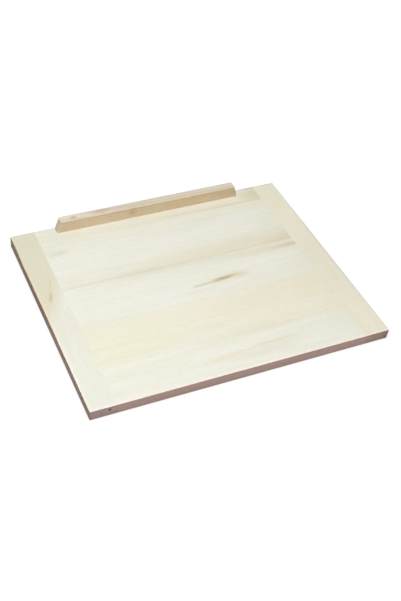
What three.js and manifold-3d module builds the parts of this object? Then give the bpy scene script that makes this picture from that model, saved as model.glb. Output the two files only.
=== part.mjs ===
import * as THREE from "three";
import { mergeVertices } from "three/addons/utils/BufferGeometryUtils.js";
import Module from "manifold-3d";

// Pastry board of pale poplar. Five planks are joined edge to edge with tongues and grooves, and the
// tongues on their ends seat in two breadboard ends, whose grain runs across and keeps the board flat.
// A stop bar with raked ends lies along the back edge, held by screws that come up from the underside.
// Millimetres, +Z up. The origin is the centre of the underside, +X is right and +Y is the back.

// Driving dimensions of the whole board
const BOARD_LENGTH = 600;
const BOARD_DEPTH = 500;
const BOARD_THICKNESS = 20;
const END_WIDTH = 50;

// The outer face of the right end leans under by this much from the work face to the underside
const RIGHT_END_UNDERCUT = 2.5;

// Widths of the planks from the back: the front plank takes what is left of the depth
const BACK_PLANK_WIDTH = 75;
const SECOND_PLANK_WIDTH = 117;
const CENTRE_PLANK_WIDTH = 109;
const FOURTH_PLANK_WIDTH = 111;

// Sanding: the radius of every outer arris, and of the corners of the flat that is left inside it
const ARRIS_RADIUS = 0.8;
const BOARD_CORNER_RADIUS = 0.4;

// Joinery: the tongues lie nearer the work face, and the left groove is deeper than its tongues need,
// which leaves a slot that opens as a small dark hole in the front face of the left end
const TONGUE_THICKNESS = 5;
const CHEEK_ABOVE_TONGUE = 5;
const EDGE_TONGUE_REACH = 6;
const END_TONGUE_REACH = 11.5;
const LEFT_GROOVE_SPARE = 3.5;
const RIGHT_GROOVE_SPARE = 0.3;
const TONGUE_CLEARANCE = 0.2;
const GLUE_LINE = 0.1;

// Stop bar: it sits a little left of the middle, and each end leans inwards by the rake over its height
const BAR_CENTRE_X = -1.4;
const BAR_LENGTH = 408;
const BAR_DEPTH = 20;
const BAR_HEIGHT = 25;
const BAR_END_RAKE = 6.5;
const BAR_CORNER_RADIUS = 2.5;

// Countersunk wood screws through the back plank into the bar
const SCREW_COUNT = 4;
const SCREW_END_MARGIN = 36;
const SCREW_HEAD_DIAMETER = 8;
const SCREW_HEAD_RIM = 0.5;
const SCREW_HEAD_RECESS = 0.5;
const SCREW_SHANK_DIAMETER = 4;
const SCREW_BITE = 15.5;
const SCREW_POINT_LENGTH = 6;
const SCREW_CLEARANCE = 0.3;
const DRIVE_SPAN = 4.4;
const DRIVE_WIDTH = 1.2;
const DRIVE_DEPTH = 1.6;

// Facets of the round forms
const ARRIS_STEPS = 3;
const CORNER_STEPS = 4;
const SCREW_SIDES = 24;

// Heights and lines that several pieces share
const TONGUE_TOP = BOARD_THICKNESS - CHEEK_ABOVE_TONGUE;
const TONGUE_BOTTOM = TONGUE_TOP - TONGUE_THICKNESS;
const GROOVE_TOP = TONGUE_TOP + TONGUE_CLEARANCE;
const GROOVE_BOTTOM = TONGUE_BOTTOM - TONGUE_CLEARANCE;
const END_JOINT_X = BOARD_LENGTH / 2 - END_WIDTH;
const TONGUE_TIP_X = END_JOINT_X + END_TONGUE_REACH;
const BAR_CENTRE_Y = (BOARD_DEPTH - BAR_DEPTH) / 2;
const SCREW_TIP_Z = BOARD_THICKNESS + SCREW_BITE;

// What a cutter, or a piece before sanding, stands past the finished faces
const OVERSIZE = 5;

const POPLAR_CREAM = new THREE.MeshStandardMaterial({ color: 0xeae7d8, roughness: 0.62, metalness: 0 });
const POPLAR_STRAW = new THREE.MeshStandardMaterial({ color: 0xe6dfc8, roughness: 0.62, metalness: 0 });
const POPLAR_HEART = new THREE.MeshStandardMaterial({ color: 0xe2dcc6, roughness: 0.62, metalness: 0 });
const BEECH_TAN = new THREE.MeshStandardMaterial({ color: 0xdbcdb4, roughness: 0.6, metalness: 0 });
const ZINC_STEEL = new THREE.MeshStandardMaterial({ color: 0xb9bbbd, roughness: 0.35, metalness: 1 });

// The planks from back to front, each with its own shade of the same wood
const PLANKS = [
  { name: "back_plank", width: BACK_PLANK_WIDTH, material: POPLAR_HEART },
  { name: "second_plank", width: SECOND_PLANK_WIDTH, material: POPLAR_STRAW },
  { name: "centre_plank", width: CENTRE_PLANK_WIDTH, material: POPLAR_CREAM },
  { name: "fourth_plank", width: FOURTH_PLANK_WIDTH, material: POPLAR_STRAW },
  { name: "front_plank", width: frontPlankWidth(), material: POPLAR_CREAM },
];

const wasm = await Module();
wasm.setup();

// The front plank's width: the depth of the board less the other four planks.
function frontPlankWidth() {
  return BOARD_DEPTH - BACK_PLANK_WIDTH - SECOND_PLANK_WIDTH - CENTRE_PLANK_WIDTH - FOURTH_PLANK_WIDTH;
}

// A closed geometry as a solid that can be joined and cut.
function solidOf(geometry) {
  const bare = geometry.clone();
  bare.deleteAttribute("normal");
  bare.deleteAttribute("uv");
  const merged = mergeVertices(bare);
  const mesh = new wasm.Mesh({
    numProp: 3,
    vertProperties: new Float32Array(merged.attributes.position.array),
    triVerts: new Uint32Array(merged.index.array),
  });
  return new wasm.Manifold(mesh);
}

// A finished solid as a named mesh with flat facets.
function pieceOf(name, solid, material) {
  const made = solid.getMesh();
  const indexed = new THREE.BufferGeometry();
  indexed.setAttribute("position", new THREE.BufferAttribute(made.vertProperties, made.numProp));
  indexed.setIndex(new THREE.BufferAttribute(made.triVerts, 1));
  const geometry = indexed.toNonIndexed();
  geometry.computeVertexNormals();
  const piece = new THREE.Mesh(geometry, material);
  piece.name = name;
  return piece;
}

// A rectangular block between two opposite corners.
function block(corner, opposite) {
  const box = new THREE.Box3().setFromPoints([corner, opposite]);
  const size = box.getSize(new THREE.Vector3());
  const centre = box.getCenter(new THREE.Vector3());
  const geometry = new THREE.BoxGeometry(size.x, size.y, size.z);
  return solidOf(geometry.translate(centre.x, centre.y, centre.z));
}

// A slab standing on the plane z = 0, with sanded arrises above and below. The flat inside the arrises
// has corners of the given radius, and the upright corners outside it are rounder by the arris.
function sandedSlab(length, depth, thickness, flatCornerRadius) {
  const radius = flatCornerRadius + ARRIS_RADIUS;
  const x = length / 2 - radius;
  const y = depth / 2 - radius;
  const outline = new THREE.Shape();
  outline.absarc(x, y, radius, 0, Math.PI / 2);
  outline.absarc(-x, y, radius, Math.PI / 2, Math.PI);
  outline.absarc(-x, -y, radius, Math.PI, Math.PI * 1.5);
  outline.absarc(x, -y, radius, Math.PI * 1.5, Math.PI * 2);
  const slab = new THREE.ExtrudeGeometry(outline, {
    depth: thickness - 2 * ARRIS_RADIUS,
    curveSegments: CORNER_STEPS,
    bevelThickness: ARRIS_RADIUS,
    bevelSize: ARRIS_RADIUS,
    bevelOffset: -ARRIS_RADIUS,
    bevelSegments: ARRIS_STEPS,
  });
  return slab.translate(0, 0, ARRIS_RADIUS);
}

// Leans the ends of a slab: each end moves outwards by its slope times the height over the level line.
function leanEnds(slab, level, leftSlope, rightSlope) {
  const points = slab.attributes.position;
  for (let index = 0; index < points.count; index += 1) {
    const x = points.getX(index);
    const rise = points.getZ(index) - level;
    points.setX(index, x < 0 ? x - leftSlope * rise : x + rightSlope * rise);
  }
  return slab;
}

// The screw's outline, turned about a vertical axis with the point up and the head at the given height.
// A clearance makes it the hole that the screw goes through.
function screwTurning(headHeight, clearance) {
  const head = SCREW_HEAD_DIAMETER / 2 + clearance;
  const shank = SCREW_SHANK_DIAMETER / 2 + clearance;
  const coneStart = SCREW_HEAD_RECESS + SCREW_HEAD_RIM + clearance;
  const coneEnd = coneStart + head - shank;
  const profile = [
    new THREE.Vector2(0, headHeight),
    new THREE.Vector2(head, headHeight),
    new THREE.Vector2(head, coneStart),
    new THREE.Vector2(shank, coneEnd),
    new THREE.Vector2(shank, SCREW_TIP_Z - SCREW_POINT_LENGTH),
    new THREE.Vector2(0, SCREW_TIP_Z + clearance),
  ];
  return new THREE.LatheGeometry(profile, SCREW_SIDES).rotateX(Math.PI / 2);
}

// Where the screws stand along the bar: the outer ones keep a margin from its ends, the rest spread evenly.
function screwPlaces() {
  const outer = BAR_LENGTH / 2 - SCREW_END_MARGIN;
  const pitch = (2 * outer) / (SCREW_COUNT - 1);
  return Array.from({ length: SCREW_COUNT }, (_, index) => index * pitch - outer);
}

// The holes for all the screws, as cutters in the frame of the board.
function screwHoles() {
  return screwPlaces().map((x) => {
    const hole = screwTurning(-OVERSIZE, SCREW_CLEARANCE);
    return solidOf(hole.translate(BAR_CENTRE_X + x, BAR_CENTRE_Y, 0));
  });
}

// A plank's cross-section from its front line to its back line, drawn with depth across and height up.
function plankSection(front, back, hasTongue, hasGroove) {
  const section = new THREE.Shape();
  section.moveTo(front, 0);
  section.lineTo(back, 0);
  if (hasGroove) {
    const grooveEnd = back - EDGE_TONGUE_REACH - TONGUE_CLEARANCE;
    section.lineTo(back, GROOVE_BOTTOM);
    section.lineTo(grooveEnd, GROOVE_BOTTOM);
    section.lineTo(grooveEnd, GROOVE_TOP);
    section.lineTo(back, GROOVE_TOP);
  }
  section.lineTo(back, BOARD_THICKNESS);
  section.lineTo(front, BOARD_THICKNESS);
  if (hasTongue) {
    const tongueEnd = front - EDGE_TONGUE_REACH;
    section.lineTo(front, TONGUE_TOP);
    section.lineTo(tongueEnd, TONGUE_TOP);
    section.lineTo(tongueEnd, TONGUE_BOTTOM);
    section.lineTo(front, TONGUE_BOTTOM);
  }
  return section;
}

// A plank: its section run the whole length, then the cheeks cut away so that a tongue is left on each end.
function plankSolid(frontSeam, backSeam, isFirst, isLast) {
  const front = isLast ? frontSeam - OVERSIZE : frontSeam + GLUE_LINE / 2;
  const back = isFirst ? backSeam + OVERSIZE : backSeam - GLUE_LINE / 2;
  const section = plankSection(front, back, !isLast, !isFirst);
  const run = new THREE.ExtrudeGeometry(section, { depth: 2 * TONGUE_TIP_X, bevelEnabled: false });
  run.translate(0, 0, -TONGUE_TIP_X);
  const acrossDepth = new THREE.Vector3(0, 1, 0);
  const upHeight = new THREE.Vector3(0, 0, 1);
  const alongLength = new THREE.Vector3(1, 0, 0);
  run.applyMatrix4(new THREE.Matrix4().makeBasis(acrossDepth, upHeight, alongLength));
  let plank = solidOf(run);
  const farFront = frontSeam - OVERSIZE - EDGE_TONGUE_REACH;
  const farBack = backSeam + OVERSIZE;
  for (const side of [-1, 1]) {
    const shoulder = side * (END_JOINT_X - GLUE_LINE);
    const past = side * (TONGUE_TIP_X + OVERSIZE);
    const upperCheek = block(
      new THREE.Vector3(shoulder, farFront, TONGUE_TOP),
      new THREE.Vector3(past, farBack, BOARD_THICKNESS + OVERSIZE),
    );
    const lowerCheek = block(
      new THREE.Vector3(shoulder, farFront, TONGUE_BOTTOM),
      new THREE.Vector3(past, farBack, -OVERSIZE),
    );
    plank = plank.subtract(upperCheek).subtract(lowerCheek);
  }
  return plank;
}

// A breadboard end: a cross-grain strip with a groove run right through its inner edge.
function breadboardEnd(side, grooveSpare) {
  const farDepth = BOARD_DEPTH / 2 + OVERSIZE;
  const inner = side * END_JOINT_X;
  const grooveEnd = side * (TONGUE_TIP_X + grooveSpare);
  const strip = block(
    new THREE.Vector3(inner, -farDepth, -OVERSIZE),
    new THREE.Vector3(side * (BOARD_LENGTH / 2 + OVERSIZE), farDepth, BOARD_THICKNESS + OVERSIZE),
  );
  const groove = block(
    new THREE.Vector3(inner - side * OVERSIZE, -farDepth - OVERSIZE, GROOVE_BOTTOM),
    new THREE.Vector3(grooveEnd, farDepth + OVERSIZE, GROOVE_TOP),
  );
  return strip.subtract(groove);
}

// The stop bar, standing on the glue line over the plane z = 0 of its own group.
function stopBar() {
  const rake = -BAR_END_RAKE / BAR_HEIGHT;
  const blank = sandedSlab(BAR_LENGTH, BAR_DEPTH, BAR_HEIGHT + OVERSIZE, BAR_CORNER_RADIUS);
  leanEnds(blank.translate(0, 0, -OVERSIZE), 0, rake, rake);
  const belowGlue = block(
    new THREE.Vector3(-BAR_LENGTH, -BAR_DEPTH, -2 * OVERSIZE),
    new THREE.Vector3(BAR_LENGTH, BAR_DEPTH, GLUE_LINE),
  );
  let bar = solidOf(blank).subtract(belowGlue);
  for (const x of screwPlaces()) {
    const pilot = screwTurning(-OVERSIZE, SCREW_CLEARANCE).translate(x, 0, -BOARD_THICKNESS);
    bar = bar.subtract(solidOf(pilot));
  }
  return bar;
}

// One screw, standing point up with its head just inside the underside of the board.
function screw() {
  const driveTop = SCREW_HEAD_RECESS + DRIVE_DEPTH;
  const slot = block(
    new THREE.Vector3(-DRIVE_SPAN / 2, -DRIVE_WIDTH / 2, -OVERSIZE),
    new THREE.Vector3(DRIVE_SPAN / 2, DRIVE_WIDTH / 2, driveTop),
  );
  const crossSlot = block(
    new THREE.Vector3(-DRIVE_WIDTH / 2, -DRIVE_SPAN / 2, -OVERSIZE),
    new THREE.Vector3(DRIVE_WIDTH / 2, DRIVE_SPAN / 2, driveTop),
  );
  return solidOf(screwTurning(SCREW_HEAD_RECESS, 0)).subtract(slot).subtract(crossSlot);
}

// The board is glued up first, trimmed and sanded as one, so the arrises run on from piece to piece
const boardSlab = sandedSlab(BOARD_LENGTH, BOARD_DEPTH, BOARD_THICKNESS, BOARD_CORNER_RADIUS);
const undercut = RIGHT_END_UNDERCUT / BOARD_THICKNESS;
const sandedBoard = solidOf(leanEnds(boardSlab, BOARD_THICKNESS, 0, undercut));

const panel = new THREE.Group();
let seam = BOARD_DEPTH / 2;
PLANKS.forEach(({ name, width, material }, index) => {
  const isFirst = index === 0;
  const isLast = index === PLANKS.length - 1;
  let plank = plankSolid(seam - width, seam, isFirst, isLast).intersect(sandedBoard);
  if (isFirst) {
    for (const hole of screwHoles()) {
      plank = plank.subtract(hole);
    }
  }
  panel.add(pieceOf(name, plank, material));
  seam -= width;
});

const ends = new THREE.Group();
const leftEnd = breadboardEnd(-1, LEFT_GROOVE_SPARE).intersect(sandedBoard);
const rightEnd = breadboardEnd(1, RIGHT_GROOVE_SPARE).intersect(sandedBoard);
ends.add(pieceOf("left_breadboard_end", leftEnd, POPLAR_HEART));
ends.add(pieceOf("right_breadboard_end", rightEnd, POPLAR_STRAW));

const stop = new THREE.Group();
stop.position.set(BAR_CENTRE_X, BAR_CENTRE_Y, BOARD_THICKNESS);
stop.add(pieceOf("stop_bar", stopBar(), BEECH_TAN));
screwPlaces().forEach((x, index) => {
  const barScrew = pieceOf(`bar_screw_${index + 1}`, screw(), ZINC_STEEL);
  barScrew.position.set(x, 0, -BOARD_THICKNESS);
  stop.add(barScrew);
});

const pastryBoard = new THREE.Group();
pastryBoard.add(panel, ends, stop);

export default pastryBoard;
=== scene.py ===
"""Pastry board of pale poplar planks with breadboard ends and a stop bar, in a white studio.

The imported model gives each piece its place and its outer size. The classes here make the piece
again with smooth sanded arrises, threads and grain. Lengths are metres, written as millimetres
times MM, and only the marks in the wood are given in plain millimetres. The frame is that of the
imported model: +X to the right, +Y to the back, +Z up.
"""

import logging
import math
from dataclasses import dataclass
from enum import Enum
from typing import ClassVar, Iterable, Sequence

import bmesh
import bpy
from bmesh.types import BMEdge, BMesh, BMFace, BMVert
from bpy.types import ID, Material, Mesh, Node, NodeSocket, Object, World
from mathutils import Matrix, Vector, noise


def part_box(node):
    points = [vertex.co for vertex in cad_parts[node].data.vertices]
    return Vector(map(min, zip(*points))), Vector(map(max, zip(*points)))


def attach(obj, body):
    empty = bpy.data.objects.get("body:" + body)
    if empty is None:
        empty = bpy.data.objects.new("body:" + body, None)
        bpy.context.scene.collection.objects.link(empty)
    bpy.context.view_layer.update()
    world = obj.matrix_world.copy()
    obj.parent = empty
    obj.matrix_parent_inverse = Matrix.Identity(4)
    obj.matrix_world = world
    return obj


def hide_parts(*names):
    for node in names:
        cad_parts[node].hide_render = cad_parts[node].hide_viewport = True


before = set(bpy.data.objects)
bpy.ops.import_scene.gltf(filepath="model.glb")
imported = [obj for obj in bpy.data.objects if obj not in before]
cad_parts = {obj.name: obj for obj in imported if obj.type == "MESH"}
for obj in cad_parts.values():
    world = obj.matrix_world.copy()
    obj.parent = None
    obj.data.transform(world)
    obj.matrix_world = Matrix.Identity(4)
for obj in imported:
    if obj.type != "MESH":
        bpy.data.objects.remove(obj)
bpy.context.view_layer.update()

LOG = logging.getLogger("pastry_board")

MM = 0.001
BODY = "root"
WHITE = "#ffffff"

Pair = tuple[float, float]
Triple = tuple[float, float, float]
Colour = tuple[float, float, float, float]

# What an input of a node can be linked to. A node stands for its first output in use.
Source = Node | NodeSocket


def linear(hex_code: str) -> Colour:
    """Turns an sRGB hex colour to the linear colour that Blender shades with.

    Args:
        hex_code: six hex digits after a hash sign.

    Returns:
        Linear red, green and blue, and an alpha of one.
    """
    channels = [int(hex_code[start : start + 2], 16) / 255 for start in (1, 3, 5)]
    red, green, blue = (
        c / 12.92 if c <= 0.04045 else ((c + 0.055) / 1.055) ** 2.4 for c in channels
    )
    return red, green, blue, 1.0


class Nodes:
    """The node tree of one material or world, built up from nothing."""

    def __init__(self, owner: Material | World) -> None:
        """Empties the owner's node tree.

        Args:
            owner: material or world to build.
        """
        owner.use_nodes = True
        self.tree = owner.node_tree
        self.tree.nodes.clear()

    def add(self, kind: str, *values: object, **named: object) -> Node:
        """Adds a node with its settings, and fills or links its inputs.

        Args:
            kind: class name of the node, without ShaderNode in front.
            *values: a value or a source for each of the first inputs.
            **named: settings, which start with a small letter, and values or sources for inputs
                by name, which start with a capital and have underscores for spaces.

        Returns:
            The new node.
        """
        node = self.tree.nodes.new("ShaderNode" + kind)
        for key, value in named.items():
            if key[0].islower():
                setattr(node, key, value)
        sockets = {socket.identifier.replace(" ", "_"): socket for socket in node.inputs}
        filled = [(sockets[key], value) for key, value in named.items() if key[0].isupper()]
        for socket, value in (*zip(node.inputs, values), *filled):
            if isinstance(value, Node):
                value = next(output for output in value.outputs if output.enabled)
            if isinstance(value, NodeSocket):
                self.tree.links.new(value, socket)
            else:
                socket.default_value = value
        return node


class Grain(Enum):
    """The way the fibres of a piece run, as the turn that brings them onto the X axis."""

    ALONG_BOARD = 0.0
    ACROSS_BOARD = -math.pi / 2


class Side(Enum):
    """A side of a piece, as the direction that it faces."""

    LEFT = (-1, 0, 0)
    RIGHT = (1, 0, 0)
    FRONT = (0, -1, 0)
    BACK = (0, 1, 0)
    BOTTOM = (0, 0, -1)
    TOP = (0, 0, 1)


@dataclass(frozen=True)
class Mark:
    """A streak, knot, stain or broad band of colour that goes down into the wood.

    Its lengths are in millimetres.

    Attributes:
        centre: middle of the mark on the board, right and back from its centre.
        half_length: reach along the mark's own direction.
        half_width: reach across it.
        tone: sRGB hex colour that the mark multiplies in at its middle.
        turn: angle in degrees from the board's length to the mark's direction.
        core: share of the reach that has the full strength before it fades.
        height: height of the middle of the mark.
        half_depth: reach up and down.
    """

    centre: Pair
    half_length: float
    half_width: float
    tone: str
    turn: float = 0.0
    core: float = 0.0
    height: float = 20.0
    half_depth: float = 40.0


@dataclass(frozen=True)
class Pattern:
    """Noise that is drawn out along the fibres.

    Attributes:
        along: length of a patch along the fibres.
        across: its width across them.
        detail: levels of finer noise inside it.
        roughness: strength of those levels.
        span: levels of the raw noise that become 0 and 1.
    """

    along: float
    across: float
    detail: float = 3.0
    roughness: float = 0.6
    span: Pair = (0.33, 0.67)

    def raw(self, nodes: Nodes, place: Source) -> Node:
        """Adds the noise as it comes.

        Args:
            nodes: nodes of the material.
            place: place in the wood, with X along the fibres.

        Returns:
            The noise.
        """
        scale = (1 / self.along, 1 / self.across, 1 / self.across)
        scaled = nodes.add("Mapping", place, Scale=scale)
        return nodes.add(
            "TexNoise", scaled, Scale=1.0, Detail=self.detail, Roughness=self.roughness
        )

    def spread(self, nodes: Nodes, place: Source) -> Node:
        """Adds the noise with its span drawn out from 0 to 1."""
        return nodes.add("MapRange", self.raw(nodes, place), *self.span)


@dataclass(frozen=True)
class WoodFinish:
    """Planed and sanded wood without oil or lacquer, as one solid block of grain.

    Every face of a piece cuts through the same rings, so lines on the face run on into end grain.
    Sanding leaves the wide faces pale and matt, and the sawn edges, which the sander misses, stay
    browner. All the colours are sRGB hex values.

    Attributes:
        name: name of the material.
        grain: way the fibres run.
        face: colour of the sanded faces.
        edge: colour of the sawn edges along the grain.
        end: colour of the end grain.
        pith: where the middle of the tree lay, across the fibres and up, from the board's centre.
        marks: streaks and stains, the first one lowest.
        warm_tone: colour that broad straw-coloured drifts multiply in.
        ring_tone: the same for growth rings.
        fibre_tone: the same for bundles of fibres.
        pore_tone: the same for single pores.
        ring_width: spacing of the growth rings.
    """

    name: str
    grain: Grain
    face: str
    edge: str
    end: str
    pith: Pair
    marks: tuple[Mark, ...] = ()
    warm_tone: str = "#fefcf6"
    ring_tone: str = "#fdfcf9"
    fibre_tone: str = "#fdfcfa"
    pore_tone: str = "#f4f0e8"
    ring_width: float = 6 * MM

    # Poplar's vessels are under 0.1 mm wide, far too fine for a picture of the whole board, so they
    # are drawn as bundles of fibres of 2 mm and as pores of 0.5 mm.
    DRIFT: ClassVar[Pattern] = Pattern(420 * MM, 60 * MM, 2.0, 0.5)
    WARM: ClassVar[Pattern] = Pattern(240 * MM, 26 * MM)
    COOL: ClassVar[Pattern] = Pattern(150 * MM, 34 * MM)
    FIBRE: ClassVar[Pattern] = Pattern(110 * MM, 2.2 * MM)
    PORE: ClassVar[Pattern] = Pattern(14 * MM, 0.5 * MM, 1.0, span=(0.52, 0.75))

    # How far the drift bends the grain, and the tone of broad grey-green drifts.
    DRIFT_REACH: ClassVar[float] = 9 * MM
    COOL_TONE: ClassVar[str] = "#fbfdfc"

    # The strip along the front and left top edges is a painted highlight, paler and warmer than the
    # face.
    RIM_HIGHLIGHT_TONE: ClassVar[str] = "#fdf4ed"
    RIM_HIGHLIGHT_CORNER: ClassVar[Triple] = (-300 * MM, -250 * MM, 0.0)
    RIM_HIGHLIGHT_WIDTH: ClassVar[float] = 8 * MM

    # How far the fibres pull a mark's outline in and out, the most of its half width that this
    # takes, and the level of the fibres that leaves it in place.
    FEATHER: ClassVar[float] = 5 * MM
    FEATHER_SHARE: ClassVar[float] = 0.7
    FEATHER_REST: ClassVar[float] = 0.5

    # A wave texture draws one ring in this much of its own length. The fibres slope against the
    # face, which draws the rings out into long points, and the power narrows their dark late wood.
    WAVE_PERIOD: ClassVar[float] = 2 * math.pi / 20
    SLOPE: ClassVar[float] = 0.012
    LATE_WOOD_POWER: ClassVar[float] = 3.0

    # How squarely the surface faces a side where that side's colour sets in, and where it is full.
    TURN: ClassVar[Pair] = (0.6, 0.96)

    # Height of the relief, its strength, the share of the rings in it, and the roughness in its
    # hollows and on its ridges.
    RELIEF: ClassVar[float] = 0.12 * MM
    RELIEF_STRENGTH: ClassVar[float] = 0.5
    RING_RELIEF: ClassVar[float] = 0.4
    ROUGHNESS: ClassVar[Pair] = (0.7, 0.56)
    IOR: ClassVar[float] = 1.53

    def toned(
        self, nodes: Nodes, colour: Source | Colour, share: Source, tone: str, blend: str
    ) -> Node:
        """Lays a share of one tone over a colour."""
        colours = {"A_Color": colour, "B_Color": linear(tone)}
        return nodes.add("Mix", share, data_type="RGBA", blend_type=blend, **colours)

    def facing(self, nodes: Nodes, normal: Source, side: Side) -> Node:
        """Tells how squarely the surface faces to a side or away from it.

        Args:
            nodes: nodes of the material.
            normal: direction that the surface faces in the board's frame.
            side: side that is asked about.

        Returns:
            A share that is 1 on that side and the opposite one, and 0 where the surface turns.
        """
        along = nodes.add("VectorMath", normal, side.value, operation="DOT_PRODUCT")
        either = nodes.add("Math", along, operation="ABSOLUTE")
        return nodes.add("MapRange", either, *self.TURN, interpolation_type="SMOOTHSTEP")

    def marked(
        self, nodes: Nodes, colour: Source, place: Source, feather: Source, mark: Mark
    ) -> Node:
        """Draws one mark into the wood.

        Args:
            nodes: nodes of the material.
            colour: colour so far.
            place: place in the board's frame.
            feather: where the fibres pull an outline in and out, from -0.5 to 0.5.
            mark: what to draw.

        Returns:
            The colour with the mark in it.
        """
        right, back = mark.centre
        within = nodes.add(
            "Mapping",
            place,
            Location=(right * MM, back * MM, mark.height * MM),
            Rotation=(0.0, 0.0, math.radians(mark.turn)),
            Scale=(mark.half_length * MM, mark.half_width * MM, mark.half_depth * MM),
            vector_type="TEXTURE",
        )
        reach = nodes.add("VectorMath", within, operation="LENGTH")
        pull = min(self.FEATHER / (mark.half_width * MM), self.FEATHER_SHARE)
        ragged = nodes.add("Math", feather, pull, reach, operation="MULTIPLY_ADD")
        share = nodes.add("MapRange", ragged, 1.0, mark.core, interpolation_type="SMOOTHSTEP")
        return self.toned(nodes, colour, share, mark.tone, "MULTIPLY")

    def rim_highlight(self, nodes: Nodes, place: Source) -> Node:
        """Tells how strongly the painted highlight lies along the front and left edges.

        Args:
            nodes: nodes of the material.
            place: place in the board's frame.

        Returns:
            A share that is 1 at those edges and 0 inside the strip.
        """
        inwards = nodes.add("VectorMath", place, self.RIM_HIGHLIGHT_CORNER, operation="SUBTRACT")
        sides = nodes.add("SeparateXYZ", inwards).outputs
        nearer = nodes.add("Math", sides["X"], sides["Y"], operation="MINIMUM")
        strip = (self.RIM_HIGHLIGHT_WIDTH, 0.0)
        return nodes.add("MapRange", nearer, *strip, interpolation_type="SMOOTHSTEP")

    def material(self) -> Material:
        """Builds the wood.

        Returns:
            A new material.
        """
        material = bpy.data.materials.new(self.name)
        nodes = Nodes(material)
        surface = nodes.add("TexCoord").outputs
        place, normal = surface["Object"], surface["Normal"]

        # The block is turned so that X runs along the fibres, and bent by a slow drift.
        straight = nodes.add("Mapping", place, Rotation=(0.0, 0.0, self.grain.value))
        drift = self.DRIFT.raw(nodes, straight).outputs["Color"]
        reach = (0.0, self.DRIFT_REACH, self.DRIFT_REACH)
        wood = nodes.add("VectorMath", drift, reach, straight, operation="MULTIPLY_ADD")

        # Growth rings lie about the pith.
        across, up = self.pith
        slope = (0.0, self.SLOPE, self.SLOPE)
        about_pith = nodes.add("Mapping", wood, Location=(0.0, -across, -up), Rotation=slope)
        rings = nodes.add(
            "TexWave",
            about_pith,
            Scale=self.WAVE_PERIOD / self.ring_width,
            wave_type="RINGS",
            rings_direction="X",
            wave_profile="SAW",
        ).outputs["Fac"]
        late_wood = nodes.add("Math", rings, self.LATE_WOOD_POWER, operation="POWER")
        fibres = self.FIBRE.spread(nodes, wood)

        # Faces, sawn edges and end grain each start from their own colour.
        # Painted highlight: a pale warm strip along the front and left top edges.
        rim = self.rim_highlight(nodes, place)
        face = self.toned(nodes, linear(self.face), rim, self.RIM_HIGHLIGHT_TONE, "MIX")
        flat = self.facing(nodes, normal, Side.TOP)
        sawn = linear(self.edge)
        skin = nodes.add("Mix", flat, A_Color=sawn, B_Color=face, data_type="RGBA")
        cut_across = Side.RIGHT if self.grain is Grain.ALONG_BOARD else Side.BACK
        end_grain = self.facing(nodes, normal, cut_across)
        colour = self.toned(nodes, skin, end_grain, self.end, "MIX")
        layers = (
            (self.WARM.spread(nodes, wood), self.warm_tone),
            (self.COOL.spread(nodes, wood), self.COOL_TONE),
            (late_wood, self.ring_tone),
            (fibres, self.fibre_tone),
            (self.PORE.spread(nodes, wood), self.pore_tone),
        )
        for share, tone in layers:
            colour = self.toned(nodes, colour, share, tone, "MULTIPLY")
        feather = nodes.add("Math", fibres, self.FEATHER_REST, operation="SUBTRACT")
        for mark in self.marks:
            colour = self.marked(nodes, colour, place, feather, mark)

        # Late wood and fibres stand a little proud, and the hollows between them are rougher.
        height = nodes.add("Math", late_wood, self.RING_RELIEF, fibres, operation="MULTIPLY_ADD")
        bump = nodes.add("Bump", Height=height, Distance=self.RELIEF, Strength=self.RELIEF_STRENGTH)
        hollow, ridge = self.ROUGHNESS
        roughness = nodes.add("MapRange", fibres, To_Min=hollow, To_Max=ridge)
        shader = nodes.add("BsdfPrincipled", colour, Roughness=roughness, Normal=bump, IOR=self.IOR)
        nodes.add("OutputMaterial", shader)
        return material


@dataclass(frozen=True)
class ZincPlatedSteel:
    """Cold-formed steel with a bright zinc plating: a grey gloss with cloudy, dulled patches.

    Attributes:
        name: name of the material.
        colour: sRGB hex colour of the plating.
        shadow: sRGB hex colour of its dull patches.
        roughness: roughness of the bright parts.
        dull_roughness: roughness of the dull ones.
        patch: size of a dull patch.
        crystal: size of the plating's crystals, drawn at 0.4 mm, as real ones are too fine to show.
        crystal_detail: levels of finer noise inside them.
        relief: height of the crystals.
        relief_strength: how strongly it shows.
    """

    name: str = "zinc_plated_steel_cold_formed"
    colour: str = "#c4c6c8"
    shadow: str = "#a2a4a3"
    roughness: float = 0.32
    dull_roughness: float = 0.52
    patch: float = 2.5 * MM
    crystal: float = 0.4 * MM
    crystal_detail: float = 1.0
    relief: float = 0.02 * MM
    relief_strength: float = 0.3

    def material(self) -> Material:
        """Builds the plating.

        Returns:
            A new material.
        """
        material = bpy.data.materials.new(self.name)
        nodes = Nodes(material)
        place = nodes.add("TexCoord").outputs["Object"]
        patches = nodes.add("TexNoise", place, Scale=1 / self.patch)
        crystals = nodes.add("TexNoise", place, Scale=1 / self.crystal, Detail=self.crystal_detail)
        bright, dull = linear(self.colour), linear(self.shadow)
        colour = nodes.add("Mix", patches, A_Color=bright, B_Color=dull, data_type="RGBA")
        roughness = nodes.add(
            "MapRange", patches, To_Min=self.roughness, To_Max=self.dull_roughness
        )
        bump = nodes.add(
            "Bump", Height=crystals, Distance=self.relief, Strength=self.relief_strength
        )
        shader = nodes.add("BsdfPrincipled", colour, Metallic=1.0, Roughness=roughness, Normal=bump)
        nodes.add("OutputMaterial", shader)
        return material


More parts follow.
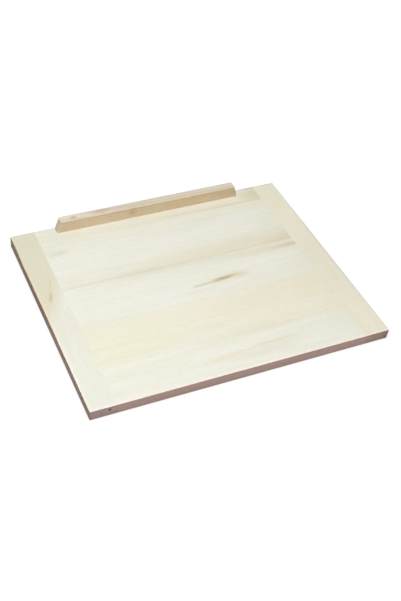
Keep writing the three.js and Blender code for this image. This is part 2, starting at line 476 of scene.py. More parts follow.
@dataclass(frozen=True)
class Joinery:
    """Sizes of the tongues and grooves that the pieces share.

    Attributes:
        tongue_low: underside of every tongue.
        tongue_high: upper side of every tongue.
        edge_reach: how far a tongue stands out of a plank's long edge.
        end_reach: how far a tongue stands out of a plank's end.
        clearance: room between a tongue and its groove.
        shoulder: distance from the board's centre to the shoulders of the planks.
    """

    tongue_low: float = 10 * MM
    tongue_high: float = 15 * MM
    edge_reach: float = 6 * MM
    end_reach: float = 11.5 * MM
    clearance: float = 0.2 * MM
    shoulder: float = 249.96 * MM

    def groove(self, mouth: float, floor: float) -> list[Pair]:
        """Gives the corners of a groove in a section, from its lower lip to its upper one."""
        low, high = self.tongue_low - self.clearance, self.tongue_high + self.clearance
        return [(mouth, low), (floor, low), (floor, high), (mouth, high)]


JOINERY = Joinery()

# How far a cutter stands past the wood that it cuts.
OVERCUT = 3 * MM


def in_scene(name: str, data: ID) -> Object:
    """Adds an object to the scene.

    Args:
        name: name of the object.
        data: its mesh, light or camera.

    Returns:
        The new object.
    """
    thing = bpy.data.objects.new(name, data)
    bpy.context.scene.collection.objects.link(thing)
    return thing


def as_mesh(shape: BMesh, name: str) -> Mesh:
    """Writes a shape to a named mesh and frees it.

    Args:
        shape: shape to write.
        name: name of the mesh.

    Returns:
        A new mesh.
    """
    mesh = bpy.data.meshes.new(name)
    shape.to_mesh(mesh)
    shape.free()
    return mesh


def dressed(shape: BMesh, name: str, sharp: float, material: Material) -> Mesh:
    """Writes a shape to a mesh that is shaded smooth, with its material.

    Args:
        shape: shape to write, freed here.
        name: name of the mesh.
        sharp: angle from which an edge shows as sharp.
        material: what it is made of.

    Returns:
        A new mesh.
    """
    mesh = as_mesh(shape, name)
    mesh.polygons.foreach_set("use_smooth", [True] * len(mesh.polygons))
    mesh.set_sharp_from_angle(angle=sharp)
    mesh.materials.append(material)
    return mesh


def settle(piece: Object, node: str) -> None:
    """Puts a finished piece on the body of the board in the place of a node, and reports it.

    Args:
        piece: finished piece.
        node: node that it stands for.
    """
    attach(piece, BODY)
    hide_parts(node)
    LOG.info("%s: %d faces, in place of %s", piece.name, len(piece.data.polygons), node)


def extruded(outline: Iterable[Vector], run: Vector) -> BMesh:
    """Runs a flat outline along a straight line, as a closed solid.

    Args:
        outline: corners in order round the outline.
        run: how far and which way it runs.

    Returns:
        A new shape, which the caller frees.
    """
    shape = bmesh.new()
    cap = shape.faces.new([shape.verts.new(point) for point in outline])
    grown = bmesh.ops.extrude_face_region(shape, geom=[cap])["geom"]
    far_end = [item for item in grown if isinstance(item, BMVert)]
    bmesh.ops.translate(shape, vec=run, verts=far_end)
    bmesh.ops.recalc_face_normals(shape, faces=shape.faces)
    return shape


def ring(shape: BMesh, foot: Vector, height: float, radii: Sequence[float]) -> list[BMVert]:
    """Adds a ring of points round an upright axis.

    Args:
        shape: shape that takes the points.
        foot: foot of the axis.
        height: height of the ring over the foot.
        radii: distance from the axis to each point.

    Returns:
        The new points.
    """
    points = []
    for step, radius in enumerate(radii):
        angle = math.tau * step / len(radii)
        offset = Vector((radius * math.cos(angle), radius * math.sin(angle), height))
        points.append(shape.verts.new(foot + offset))
    return points


def skin_over(shape: BMesh, rings: Sequence[Sequence[BMVert]]) -> None:
    """Lays faces from each ring of points to the next, and over the first ring.

    Args:
        shape: shape that has the points.
        rings: rings of points from the bottom up.
    """
    for lower, upper in zip(rings, rings[1:]):
        for step, point in enumerate(lower):
            following = (step + 1) % len(lower)
            shape.faces.new((point, lower[following], upper[following], upper[step]))
    shape.faces.new(list(reversed(rings[0])))


def carved(shape: BMesh, cutters: Sequence[BMesh]) -> BMesh:
    """Cuts closed cutters, which don't touch each other, out of a solid.

    Args:
        shape: solid to cut, freed here.
        cutters: what to take away, freed here.

    Returns:
        A new shape of what is left.
    """
    gang = bmesh.new()
    for cutter in cutters:
        part = as_mesh(cutter, "cutter")
        gang.from_mesh(part)
        bpy.data.meshes.remove(part)
    body = in_scene("carved", as_mesh(shape, "carved"))
    tool = in_scene("gang", as_mesh(gang, "gang"))
    cut = body.modifiers.new("cut", "BOOLEAN")
    cut.operation = "DIFFERENCE"
    cut.solver = "EXACT"
    cut.object = tool
    left = bmesh.new()
    left.from_object(body, bpy.context.evaluated_depsgraph_get())
    for item in (body, tool):
        spent = item.data
        bpy.data.objects.remove(item)
        bpy.data.meshes.remove(spent)
    return left


@dataclass
class WoodenPiece:
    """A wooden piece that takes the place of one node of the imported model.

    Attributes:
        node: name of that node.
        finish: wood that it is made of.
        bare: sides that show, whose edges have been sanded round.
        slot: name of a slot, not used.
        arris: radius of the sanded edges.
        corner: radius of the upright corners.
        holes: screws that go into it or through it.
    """

    node: str
    finish: WoodFinish
    bare: tuple[Side, ...]
    slot: str = ""
    arris: float = 0.8 * MM
    corner: float = 1.2 * MM
    holes: Sequence["BarScrew"] = ()

    # A face belongs to a side that it faces about this squarely, within this depth under it.
    FACING: ClassVar[float] = 0.7
    SKIN: ClassVar[float] = 4.5 * MM

    # Facets across a rounded edge, with the profile of an arc, and the edges that count as sharp.
    ROUND_STEPS: ClassVar[int] = 4
    ARC: ClassVar[float] = 0.5
    SHARP: ClassVar[float] = math.radians(35)

    # Length of a slice, and how near to a cut a point already lies on it.
    SLICE: ClassVar[float] = 12.5 * MM
    ON_CUT: ClassVar[float] = 0.01 * MM

    # Most that wear takes off an arris, and the length over which it changes.
    WEAR: ClassVar[float] = 0.35 * MM
    WEAR_LENGTH: ClassVar[float] = 28 * MM

    def __post_init__(self) -> None:
        """Looks up the corners of the node that the piece stands for."""
        self.low, self.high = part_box(self.node)

    def blank(self) -> BMesh:
        """Makes the piece with sharp edges."""
        raise NotImplementedError

    def cutters(self) -> list[BMesh]:
        """Makes what is cut out of the rounded piece, the screw holes first."""
        return [screw.hole() for screw in self.holes]

    def corner_at(self, place: Vector) -> float:
        """Gives the radius of the upright corner at a place."""
        return self.corner

    def skin(self, shape: BMesh) -> set[BMFace]:
        """Finds the faces that belong to the bare sides.

        Args:
            shape: piece to look at.

        Returns:
            Those faces.
        """
        shape.normal_update()
        found = set()
        for face in shape.faces:
            centre = face.calc_center_median()
            for side in self.bare:
                outwards = Vector(side.value)
                outermost = self.high if sum(side.value) > 0 else self.low
                depth = (outermost - centre).dot(outwards)
                if face.normal.dot(outwards) > self.FACING and depth < self.SKIN:
                    found.add(face)
        return found

    def sand(self, shape: BMesh) -> None:
        """Rounds the upright corners, then the arrises round the flat sides.

        Args:
            shape: piece with sharp edges, which is changed in place.
        """
        for flat_sides in (0, 1):
            skin = self.skin(shape)
            alike: dict[float, list[BMEdge]] = {}
            for edge in shape.edges:
                flats = sum(abs(face.normal.z) > self.FACING for face in edge.link_faces)
                bare = skin.issuperset(edge.link_faces) and flats == flat_sides
                if bare and edge.calc_face_angle() > self.SHARP:
                    radius = self.arris if flat_sides else self.corner_at(edge.verts[0].co)
                    alike.setdefault(radius, []).append(edge)
            for radius, edges in alike.items():
                arc = {"offset": radius, "segments": self.ROUND_STEPS, "profile": self.ARC}
                bmesh.ops.bevel(shape, geom=edges, affect="EDGES", clamp_overlap=True, **arc)

    def slice(self, shape: BMesh) -> None:
        """Cuts the faces into even lengths, so that wear has points to move.

        Args:
            shape: piece to cut, which is changed in place.
        """
        for axis in (Vector((1, 0, 0)), Vector((0, 1, 0))):
            length = (self.high - self.low).dot(axis)
            count = round(length / self.SLICE)
            for step in range(1, count):
                point = self.low + axis * length * step / count
                everything = [*shape.verts, *shape.edges, *shape.faces]
                bmesh.ops.bisect_plane(
                    shape, geom=everything, dist=self.ON_CUT, plane_co=point, plane_no=axis
                )

    def wear(self, shape: BMesh) -> None:
        """Rubs the sanded arrises back unevenly, only ever into the wood.

        Args:
            shape: sliced piece, which is changed in place.
        """
        skin = self.skin(shape)
        for vertex in shape.verts:
            outwards = sum((face.normal for face in vertex.link_faces if face in skin), Vector())
            if outwards.length == 0:
                continue
            outwards.normalize()

            # The second largest part of the direction is 0 on a flat face and most on an arris.
            turning = sorted(map(abs, outwards))[1]
            rub = max(0.0, noise.noise(vertex.co / self.WEAR_LENGTH)) ** 2
            vertex.co -= outwards * (self.WEAR * turning * rub)

    def build(self) -> None:
        """Makes the piece, dresses it and puts it in the place of its node."""
        shape = self.blank()
        self.sand(shape)
        cutters = self.cutters()
        if cutters:
            shape = carved(shape, cutters)
        self.slice(shape)
        self.wear(shape)
        name = self.node + "_wood"
        piece = in_scene(name, dressed(shape, name, self.SHARP, self.finish.material()))
        flatten = piece.modifiers.new("flat faces stay flat", "WEIGHTED_NORMAL")
        flatten.keep_sharp = True
        settle(piece, self.node)


@dataclass
class Plank(WoodenPiece):
    """One plank of the panel, with a tongue on each end and a joint on each inner edge."""

    slot: str = "panel_wood"

    def blank(self) -> BMesh:
        """Runs the plank's section from tip to tip of its end tongues.

        Returns:
            The plank with sharp edges.
        """
        low, high = self.low, self.high
        tongued = Side.FRONT not in self.bare
        front = low.y + JOINERY.edge_reach if tongued else low.y
        section = [(front, low.z), (high.y, low.z)]
        if Side.BACK not in self.bare:
            section += JOINERY.groove(high.y, high.y - JOINERY.edge_reach - JOINERY.clearance)
        section += [(high.y, high.z), (front, high.z)]
        if tongued:
            section += [
                (front, JOINERY.tongue_high),
                (low.y, JOINERY.tongue_high),
                (low.y, JOINERY.tongue_low),
                (front, JOINERY.tongue_low),
            ]
        outline = [Vector((low.x, y, z)) for y, z in section]
        return extruded(outline, Vector((high.x - low.x, 0, 0)))

    def cutters(self) -> list[BMesh]:
        """Adds the waste over and under each end tongue to the screw holes.

        Returns:
            Closed cutters.
        """
        front, back = self.low.y - OVERCUT, self.high.y + OVERCUT
        over = (JOINERY.tongue_high, self.high.z + OVERCUT)
        under = (self.low.z - OVERCUT, JOINERY.tongue_low)
        tip = self.high.x + OVERCUT
        waste = super().cutters()
        for start, stop in ((JOINERY.shoulder, tip), (-tip, -JOINERY.shoulder)):
            corners = ((start, front), (stop, front), (stop, back), (start, back))
            for bottom, top in (over, under):
                base = [Vector((x, y, bottom)) for x, y in corners]
                waste.append(extruded(base, Vector((0, 0, top - bottom))))
        return waste


@dataclass
class BreadboardEnd(WoodenPiece):
    """Cross-grain strip that takes the end tongues of all the planks in one groove.

    Attributes:
        groove_spare: how much deeper the groove is than the tongues.
        undercut: how far the outer face leans under, from the work face to the underside.
        back_corner: radius of the upright corner at the back.
    """

    slot: str = "end_wood"
    groove_spare: float = 0.3 * MM
    undercut: float = 0.0
    back_corner: float = 1.2 * MM

    def corner_at(self, place: Vector) -> float:
        """Gives the radius of the upright corner at a place."""
        return self.back_corner if place.y > 0 else self.corner

    def blank(self) -> BMesh:
        """Runs the strip's section from the front to the back.

        Returns:
            The strip with sharp edges.
        """
        low, high = self.low, self.high
        outer, inner = (low.x, high.x) if Side.LEFT in self.bare else (high.x, low.x)
        outwards = math.copysign(1.0, outer)
        floor = inner + outwards * (JOINERY.end_reach + self.groove_spare)
        section = (
            (outer - outwards * self.undercut, low.z),
            (inner, low.z),
            *JOINERY.groove(inner, floor),
            (inner, high.z),
            (outer, high.z),
        )
        outline = [Vector((x, low.y, z)) for x, z in section]
        return extruded(outline, Vector((0, high.y - low.y, 0)))


@dataclass
class StopBar(WoodenPiece):
    """Bar along the back edge that keeps dough and flour on the board.

    Attributes:
        left_foot: how far the foot of the left end stands out past the node.
        left_rake: how far the left end leans in over the bar's height.
        right_rake: the same for the right end.
        front_left: radius of the upright corner at the front left.
    """

    slot: str = "bar_wood"
    corner: float = 3.3 * MM
    left_foot: float = 0.6 * MM
    left_rake: float = 8.9 * MM
    right_rake: float = 6.9 * MM
    front_left: float = 6 * MM

    # The round corner of a raked end lies deeper than the skin of a board's edge.
    SKIN: ClassVar[float] = 7 * MM

    def corner_at(self, place: Vector) -> float:
        """Gives the radius of the upright corner at a place."""
        is_front = place.y < (self.low.y + self.high.y) / 2
        return self.front_left if is_front and place.x < 0 else self.corner

    def blank(self) -> BMesh:
        """Runs the bar's outline with its raked ends from front to back.

        Returns:
            The bar with sharp edges.
        """
        low, high = self.low, self.high
        left = low.x - self.left_foot
        profile = (
            (left, low.z),
            (high.x, low.z),
            (high.x - self.right_rake, high.z),
            (left + self.left_rake, high.z),
        )
        outline = [Vector((x, low.y, z)) for x, z in profile]
        return extruded(outline, Vector((0, high.y - low.y, 0)))


@dataclass
class BarScrew:
    """Countersunk wood screw, point up, through the back plank into the stop bar.

    Attributes:
        node: name of the node that it stands for.
        finish: metal that it is made of.
        slot: name of a slot, not used.
        head_radius: radius of the head's rim.
        rim: height of the straight rim.
        shank_radius: radius over the thread and of the plain shank.
        root_radius: radius between the threads.
        plain: length of shank without thread above the head.
        point: length of the tapered point.
        pitch: rise of the thread in one turn.
        drive_span: width of the cross recess at the head.
        drive_width: thickness of its arms.
        drive_depth: depth of the recess.
        drive_taper: width at its bottom as a share of that at the head.
        clearance: room between the screw and its hole.
    """

    node: str
    finish: ZincPlatedSteel
    slot: str = "screw_steel"
    head_radius: float = 4 * MM
    rim: float = 0.5 * MM
    shank_radius: float = 2 * MM
    root_radius: float = 1.35 * MM
    plain: float = 7 * MM
    point: float = 6 * MM
    pitch: float = 1.8 * MM
    drive_span: float = 4.4 * MM
    drive_width: float = 1.2 * MM
    drive_depth: float = 1.6 * MM
    drive_taper: float = 0.6
    clearance: float = 0.3 * MM

    # Facets round the screw, rows of them in a turn, and the share of the pitch that a ridge takes.
    SIDES: ClassVar[int] = 24
    ROWS_PER_TURN: ClassVar[int] = 8
    THREAD_SHARE: ClassVar[float] = 0.55
    SHARP: ClassVar[float] = math.radians(40)

    def __post_init__(self) -> None:
        """Looks up where the head and the tip of the screw are."""
        low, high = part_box(self.node)
        self.foot = Vector(((low.x + high.x) / 2, (low.y + high.y) / 2, low.z))
        self.length = high.z - low.z
        self.cone_end = self.rim + self.head_radius - self.shank_radius

    def hole(self) -> BMesh:
        """Makes the countersunk hole, open below the head.

        Returns:
            A closed cutter.
        """
        room = self.clearance
        shank = self.shank_radius + room
        head = self.head_radius + room
        profile = (
            (head, -OVERCUT),
            (head, self.rim + room),
            (shank, self.cone_end + room),
            (shank, self.length - self.point),
            (room, self.length + room),
        )
        shape = bmesh.new()
        rings = [ring(shape, self.foot, height, [out] * self.SIDES) for out, height in profile]
        skin_over(shape, rings)
        shape.faces.new(rings[-1])
        bmesh.ops.recalc_face_normals(shape, faces=shape.faces)
        return shape

    def radius_at(self, height: float, angle: float) -> float:
        """Gives the radius of the shank, whose thread climbs one pitch in each turn.

        Args:
            height: height over the head's face.
            angle: angle round the shank.

        Returns:
            Distance from the axis to the metal's surface.
        """
        taper = min(1.0, (self.length - height) / self.point)
        start = self.cone_end + self.plain
        if height <= start:
            return self.shank_radius
        grown = min(1.0, (height - start) / self.pitch)
        turn = (height / self.pitch - angle / math.tau) % 1.0
        ridge = max(0.0, 1.0 - abs(2 * turn - 1) / self.THREAD_SHARE)
        root = self.shank_radius + (self.root_radius - self.shank_radius) * grown
        return taper * (root + (self.shank_radius - root) * ridge)

    def shank(self) -> BMesh:
        """Makes the head's cone and the threaded shank, without the recess.

        Returns:
            A closed solid.
        """
        shape = bmesh.new()
        axis = Vector()
        rings = [ring(shape, axis, z, [self.head_radius] * self.SIDES) for z in (0.0, self.rim)]
        angles = [math.tau * step / self.SIDES for step in range(self.SIDES)]
        run = self.length - self.cone_end
        count = round(run / self.pitch * self.ROWS_PER_TURN)
        for row in range(count):
            height = self.cone_end + run * row / count
            radii = [self.radius_at(height, angle) for angle in angles]
            rings.append(ring(shape, axis, height, radii))
        skin_over(shape, rings)
        tip = shape.verts.new((0, 0, self.length))
        last = rings[-1]
        for step, point in enumerate(last):
            shape.faces.new((point, last[(step + 1) % self.SIDES], tip))
        bmesh.ops.recalc_face_normals(shape, faces=shape.faces)
        return shape

    def recess(self) -> BMesh:
        """Makes the cross-shaped cutter of the drive, which narrows as it goes in.

        Returns:
            A closed cutter.
        """
        arm, half = self.drive_span / 2, self.drive_width / 2
        quarter = [Vector((arm, -half, 0)), Vector((arm, half, 0)), Vector((half, half, 0))]
        outline = []
        for step in range(4):
            turn = Matrix.Rotation(math.pi / 2 * step, 3, "Z")
            outline += [turn @ point for point in quarter]
        lowered = [point - Vector((0, 0, OVERCUT)) for point in outline]
        cutter = extruded(lowered, Vector((0, 0, OVERCUT + self.drive_depth)))
        for vertex in cutter.verts:
            if vertex.co.z > 0:
                vertex.co.x *= self.drive_taper
                vertex.co.y *= self.drive_taper
        return cutter

    def mesh(self) -> Mesh:
        """Makes the mesh that all the screws share."""
        shape = carved(self.shank(), [self.recess()])
        return dressed(shape, "bar_screw_steel", self.SHARP, self.finish.material())

    def place(self, mesh: Mesh) -> None:
        """Sets one screw into its hole.

        Args:
            mesh: shared mesh of the screws.
        """
        piece = in_scene(self.node + "_steel", mesh)
        piece.location = self.foot
        settle(piece, self.node)


def looked_at(nodes: Nodes) -> Node:
    """Tells rays from the eye, straight or by way of gloss or glass, from other rays.

    Args:
        nodes: nodes of the material or world that asks.

    Returns:
        1 for a ray from the eye, and 0 for one that lights other surfaces.
    """
    ray = nodes.add("LightPath").outputs
    mirrored = (ray["Is Glossy Ray"], ray["Is Transmission Ray"])
    either = nodes.add("Math", *mirrored, operation="MAXIMUM")
    return nodes.add("Math", ray["Is Camera Ray"], either, operation="MAXIMUM")


@dataclass(frozen=True)
class PaperFloor:
    """Matt background paper: white to the eye, and grey in what it throws back at the board.

    Attributes:
        name: name of the material.
        glow: light that the paper sends to the eye by itself, beside the board.
        far_glow: the same well away from the board.
        shade: sRGB hex colour of the part that takes shadows.
        bounce: sRGB hex colour that other surfaces see.
        near: distance from the middle where the glow starts to grow.
        far: distance from the middle where it is full.
        contact: reach of the painted contact shadow, a dark line where the board stands on the
            paper.
        painted_bounce_tone: sRGB hex colour of a painted bounce of brown light from the board's
            edges onto the paper there.
        tooth: size of the paper's grain, drawn at 3 mm, as the real fibres are too fine to show.
        relief: height of that grain.
        relief_strength: how strongly it shows.
    """

    name: str = "background_paper_matt"
    glow: float = 0.76
    far_glow: float = 1.0
    shade: str = "#8e8e8e"
    bounce: str = "#9a9a98"
    near: float = 0.45
    far: float = 1.1
    contact: float = 1.6 * MM
    painted_bounce_tone: str = "#ffc8a0"
    tooth: float = 3 * MM
    relief: float = 0.05 * MM
    relief_strength: float = 0.2

    def material(self) -> Material:
        """Builds the paper.

        Returns:
            A new material.
        """
        material = bpy.data.materials.new(self.name)
        nodes = Nodes(material)
        place = nodes.add("TexCoord").outputs["Object"]
        grain = nodes.add("TexNoise", place, Scale=1 / self.tooth)
        bump = nodes.add("Bump", Height=grain, Distance=self.relief, Strength=self.relief_strength)
        away = nodes.add("VectorMath", place, operation="LENGTH")
        levels = (self.near, self.far, self.glow, self.far_glow)
        glow = nodes.add("MapRange", away, *levels, interpolation_type="SMOOTHSTEP")
        # Painted contact shadow and painted bounce light: ambient occlusion dims the glow and warms
        # its colour where the board stands on the paper.
        open_share = nodes.add("AmbientOcclusion", Distance=self.contact).outputs["AO"]
        strength = nodes.add("Math", glow, open_share, operation="MULTIPLY")
        warm, white = linear(self.painted_bounce_tone), linear(WHITE)
        tint = nodes.add("Mix", open_share, A_Color=warm, B_Color=white, data_type="RGBA")
        shine = nodes.add("Emission", tint, strength)
        shade = nodes.add("BsdfDiffuse", linear(self.shade), Normal=bump)
        seen = nodes.add("AddShader", shine, shade)
        bounced = nodes.add("BsdfDiffuse", linear(self.bounce))
        mixed = nodes.add("MixShader", looked_at(nodes), bounced, seen)
        nodes.add("OutputMaterial", mixed)
        return material


@dataclass
class Studio:
    """White studio: paper floor, one soft lamp over the board, a pale room and the camera.

    Attributes:
        paper: finish of the floor.
        floor_size: side of the paper.
        floor_gap: gap between the paper and the board.
        dark_side: strength of the light from the room's left.
        bright_side: strength of the light from its right.
        lamp_place: middle of the lamp, which is turned to the board's centre.
        lamp_size: side of its square face.
        lamp_power: its power in watts.
        camera_place: where the camera stands.
        azimuth: bearing of the camera in degrees, from the front towards the right.
        elevation: its height angle in degrees.
        roll: how far it is tipped in degrees.
        lens: focal length in millimetres on a film side of 36 mm.
    """

    paper: PaperFloor = PaperFloor()
    floor_size: float = 9.0
    floor_gap: float = 0.1 * MM
    dark_side: float = 0.06
    bright_side: float = 0.76
    lamp_place: Triple = (-0.5, -0.25, 2.0)
    lamp_size: float = 0.9
    lamp_power: float = 28.0
    camera_place: Triple = (-0.646031, -1.297082, 1.294815)
    azimuth: float = -27.159
    elevation: float = 42.391
    roll: float = 5.283
    lens: float = 58.68

    FLOOR_CELLS: ClassVar[int] = 12

    def lay_floor(self) -> None:
        """Lays the paper that the board stands on."""
        shape = bmesh.new()
        cells = self.FLOOR_CELLS
        bmesh.ops.create_grid(shape, x_segments=cells, y_segments=cells, size=self.floor_size / 2)
        bmesh.ops.translate(shape, vec=Vector((0, 0, -self.floor_gap)), verts=shape.verts)
        mesh = as_mesh(shape, "paper_floor")
        mesh.materials.append(self.paper.material())
        floor = in_scene("paper_floor", mesh)

    def light_room(self) -> None:
        """Makes the room white to the eye, with a weaker light that grows from left to right."""
        world = bpy.data.worlds.new("pale_room")
        nodes = Nodes(world)
        direction = nodes.add("TexCoord").outputs["Generated"]
        rightwards = nodes.add("VectorMath", direction, Side.RIGHT.value, operation="DOT_PRODUCT")
        levels = (-1.0, 1.0, self.dark_side, self.bright_side)
        light = nodes.add("MapRange", rightwards, *levels)
        strength = nodes.add("MapRange", looked_at(nodes), To_Min=light, To_Max=1.0)
        room = nodes.add("Background", linear(WHITE), strength)
        nodes.add("OutputWorld", room)
        bpy.context.scene.world = world

    def hang_lamp(self) -> None:
        """Hangs the soft lamp over the board, a little to the left."""
        light = bpy.data.lights.new("soft_box", "AREA")
        light.shape = "SQUARE"
        light.size = self.lamp_size
        light.energy = self.lamp_power
        lamp = in_scene("soft_box", light)
        lamp.location = self.lamp_place
        aim = -Vector(self.lamp_place)
        lamp.rotation_euler = aim.to_track_quat("-Z", "Y").to_euler()

    def set_camera(self) -> None:
        """Sets the camera at the viewing angle of the picture."""
        bearing, height = math.radians(self.azimuth), math.radians(self.elevation)
        level_reach = math.cos(height)
        backwards = Vector(
            (math.sin(bearing) * level_reach, -math.cos(bearing) * level_reach, math.sin(height))
        )
        level = backwards.cross(Vector((0, 0, -1))).normalized()
        across = Matrix.Rotation(math.radians(self.roll), 3, backwards) @ level
        upwards = backwards.cross(across)
        turn = Matrix((across, upwards, backwards)).transposed()
        lens = bpy.data.cameras.new("camera")
        lens.lens = self.lens
        camera = in_scene("camera", lens)
        camera.matrix_world = Matrix.Translation(Vector(self.camera_place)) @ turn.to_4x4()
        bpy.context.scene.camera = camera

    def build(self) -> None:
        """Sets up floor, light and camera."""
        bpy.context.scene.view_settings.view_transform = "Standard"
        self.lay_floor()
        self.light_room()
        self.hang_lamp()
        self.set_camera()
        LOG.info("studio ready")


# Painted shade: every plank darkens a little towards the board's right end, as the light falls off
# there.
RIGHT_FALLOFF_SHADE = Mark((300, 0), 160, 400, "#faf8f0")

# Painted shade: the lower part of the front and left edges is darkened, greyer at the front and
# browner at the left.
FRONT_BOTTOM_SHADE = Mark((0, -250), 1500, 6, "#f3f1f1", height=0, half_depth=11)
LEFT_BOTTOM_SHADE = Mark((-300, 0), 1500, 6, "#c6b6ac", 90, height=0, half_depth=11)

# The spare depth of the left groove opens as a hole in the front edge, and a dark mark paints the
# shade inside it.
GROOVE_MOUTH_SHADE = Mark((-263.2, -250), 2.6, 30, "#40332e", 0, 0.5, 12.7, 3.6)

END_GRAIN = "#d9bcba"


def panel_poplar(
    plank: str, face: str, pith: Pair, *marks: Mark, edge: str = "#e7c6bd"
) -> WoodFinish:
    """Picks the poplar of one plank of the panel, with the marks that are its own and the painted
    shade at the right.
    """
    name = f"poplar_{plank}_plank_planed_and_sanded"
    return WoodFinish(name, Grain.ALONG_BOARD, face, edge, END_GRAIN, pith, (*marks, RIGHT_FALLOFF_SHADE))


# The planks of the panel. Sapwood of poplar is a cream that goes to straw, and heartwood is olive.
BACK_POPLAR = panel_poplar(
    "back",
    "#ebeadf",
    (240 * MM, -70 * MM),
    Mark((140, 207), 260, 7, "#f3f0e2"),
    Mark((240, 226), 60, 32, "#efecd9"),
    # Painted shade along the back arris, right of the bar.
    Mark((240, 250), 50, 7, "#e2e2e6", 0, 0.2),
    edge="#e6ccb9",
)
SECOND_POPLAR = panel_poplar(
    "second",
    "#edede5",
    (90 * MM, 110 * MM),
    Mark((120, 74), 340, 46, "#f8f3e8", core=0.1),
    Mark((-110, 62), 190, 24, "#fbf8f3"),
    Mark((-60, 60), 360, 8, "#f9f7f3"),
    Mark((-214, 59), 70, 4, "#f2f4f0"),
    Mark((250, 66), 90, 22, "#f8f5ef"),
    Mark((-224, 169), 36, 13, "#eff0f0"),
    Mark((-221, 79), 28, 17, "#fef9f6"),
)
# A brown mineral streak with its tails lies in the middle of the centre plank.
CENTRE_POPLAR = panel_poplar(
    "centre",
    "#edede5",
    (-30 * MM, -120 * MM),
    Mark((97, -9), 38, 14, "#f8ede0", 0, 0.1),
    Mark((18, -13.4), 36, 5, "#ebe7da", 3.5, 0.3),
    Mark((1, -14), 9, 6, "#f2f6ee"),
    Mark((58, -10), 66, 24, "#fffcf3", 5, 0.2),
    Mark((61, -9.6), 40, 8.5, "#d2c5b3", 7, 0.2),
    Mark((-30, 58), 250, 20, "#f6f3ed"),
    Mark((190, 45), 190, 18, "#f5f2e9"),
    Mark((252, 42.5), 66, 8, "#efeadb"),
)
FOURTH_POPLAR = panel_poplar(
    "fourth",
    "#eeecdf",
    (-130 * MM, 95 * MM),
    Mark((-180, -108), 150, 80, "#fefff8", core=0.3),
    Mark((130, -90), 240, 70, "#fffdfa", core=0.3),
    Mark((60, -154), 200, 20, "#fbfaf5"),
)
FRONT_POPLAR = panel_poplar(
    "front",
    "#eeeee5",
    (-190 * MM, -85 * MM),
    Mark((110, -166), 220, 12, "#fbf9f2"),
    Mark((50, -219), 120, 14, "#f9f6f0"),
    Mark((70, -201), 110, 6, "#f7f6ed", 4.1),
    Mark((95, -206), 60, 10, "#fbfaf0"),
    Mark((-30, -210), 70, 8, "#fcf7ec", 3),
    GROOVE_MOUTH_SHADE,
    FRONT_BOTTOM_SHADE,
)

# The left end has a wedge of heartwood with a knot; its outer face and the top of its outer arris
# are coloured darker as painted shade, for the side that faces away from the light.
LEFT_POPLAR = WoodFinish(
    name="poplar_left_end_planed_and_sanded",
    grain=Grain.ACROSS_BOARD,
    face="#eaebe3",
    # Painted shade: the outer face is coloured darker than the other edges.
    edge="#a79082",
    end=END_GRAIN,
    pith=(310 * MM, -60 * MM),
    ring_tone="#fefdfb",
    fibre_tone="#fefdfc",
    pore_tone="#f6f1e8",
    marks=(
        Mark((-392, 86), 300, 155, "#f8f5ee", 58, 0.8, half_depth=400),
        Mark((-392, 122), 300, 155, "#faf8f0", 58, 0.84, half_depth=400),
        Mark((-276.5, 47), 21, 4.6, "#e6decb", 73, 0.1),
        Mark((-267, 82), 26, 5, "#f8f5ea", 72),
        Mark((-275, -30), 120, 60, "#fdfbf9", 90),
        LEFT_BOTTOM_SHADE,
        FRONT_BOTTOM_SHADE,
        Mark((-300, 250), 265, 3, "#e2e0e3", 90, 0.8, 8, 14),
        GROOVE_MOUTH_SHADE,
        # Painted shade along the top of the outer arris, darker still towards the back.
        Mark((-300, 0), 300, 2.2, "#b6a296", 90, 0.3, half_depth=4),
        Mark((-300, 216), 80, 2.9, "#9c8c82", 90, 0.3, half_depth=4),
    ),
)
RIGHT_POPLAR = WoodFinish(
    name="poplar_right_end_planed_and_sanded",
    grain=Grain.ACROSS_BOARD,
    face="#eeead9",
    edge="#d6c0ae",
    end="#d0b2aa",
    pith=(-265 * MM, -90 * MM),
    marks=(
        # Painted shade: a grey strip along the right arris, which faces away from the light.
        Mark((300, 0), 300, 8, "#f2f2fb", 90, 0.1),
        # Painted shade along the back arris.
        Mark((290, 250), 36, 6, "#ebedf1", 0, 0.2),
        Mark((275, -30), 190, 120, "#fafaf9", 90, 0.2),
        # Painted shade on the front face at the right corner.
        Mark((300, -252), 24, 5, "#b4b0b0", 0, 0.1, 8, 20),
        FRONT_BOTTOM_SHADE,
    ),
)

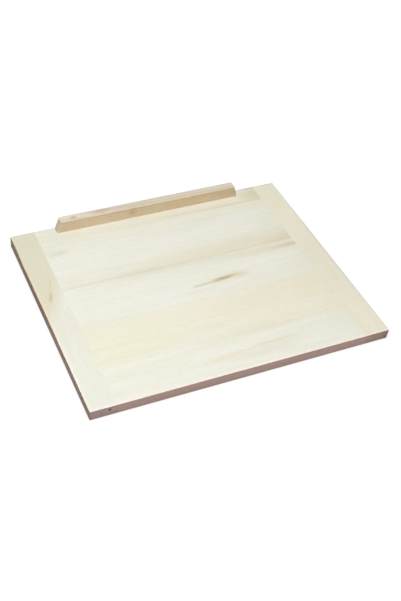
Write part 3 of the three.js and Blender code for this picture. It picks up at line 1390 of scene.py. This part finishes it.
# Beech is tanner than poplar, with closer rings and stronger flecks.
BAR_BEECH = WoodFinish(
    name="beech_stop_bar_planed_and_sanded",
    grain=Grain.ALONG_BOARD,
    face="#ebe8e3",
    edge="#f1e0ca",
    end="#ede2d9",
    pith=(225 * MM, 130 * MM),
    warm_tone="#f8f2e6",
    fibre_tone="#f7f2ea",
    pore_tone="#e9e0d0",
    ring_tone="#f2e9da",
    ring_width=3.5 * MM,
    marks=(
        Mark((-168.5, 240), 12, 6, "#d4cbbb", height=45, half_depth=9),
        Mark((-60, 240), 150, 30, "#f9f6ef", height=45, half_depth=7),
        Mark((200, 230), 80, 12, "#f5f0ef", height=30, half_depth=15),
        # Painted shade: a cool grey along the bar's back top arris.
        Mark((0, 250), 230, 8.5, "#e9efff", height=45, half_depth=8),
        Mark((60, 233), 280, 18, "#f8f7f3", 0, 0.4, 45, 7),
        Mark((-110, 243), 28, 9, "#ecdfd9", height=45, half_depth=5),
        Mark((55, 230), 60, 8, "#fcfcef", height=32, half_depth=20),
        Mark((-41, 230), 15, 8, "#ece5d4", height=34, half_depth=13),
        Mark((202, 229), 10, 8, "#d2cec8", 0, 0.1, 34, 18),
    ),
)


def main() -> None:
    """Builds the studio and the board."""
    logging.basicConfig(level=logging.INFO, format="%(name)s: %(message)s")
    Studio().build()
    steel = ZincPlatedSteel()
    nodes = sorted(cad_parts)
    screws = [BarScrew(node, steel) for node in nodes if node.startswith("bar_screw")]
    flats = (Side.TOP, Side.BOTTOM)
    pieces = [
        Plank("back_plank", BACK_POPLAR, (*flats, Side.BACK), holes=screws),
        Plank("second_plank", SECOND_POPLAR, flats),
        Plank("centre_plank", CENTRE_POPLAR, flats),
        Plank("fourth_plank", FOURTH_POPLAR, flats),
        Plank("front_plank", FRONT_POPLAR, (*flats, Side.FRONT)),
        BreadboardEnd(
            "left_breadboard_end",
            LEFT_POPLAR,
            (*flats, Side.FRONT, Side.BACK, Side.LEFT),
            groove_spare=3.5 * MM,
            back_corner=5 * MM,
        ),
        BreadboardEnd(
            "right_breadboard_end",
            RIGHT_POPLAR,
            (*flats, Side.FRONT, Side.BACK, Side.RIGHT),
            undercut=2.5 * MM,
        ),
        StopBar(
            "stop_bar",
            BAR_BEECH,
            (Side.TOP, Side.FRONT, Side.BACK, Side.LEFT, Side.RIGHT),
            holes=screws,
        ),
    ]
    for piece in pieces:
        piece.build()
    screw_mesh = screws[0].mesh()
    for screw in screws:
        screw.place(screw_mesh)


if __name__ == "__main__":
    main()
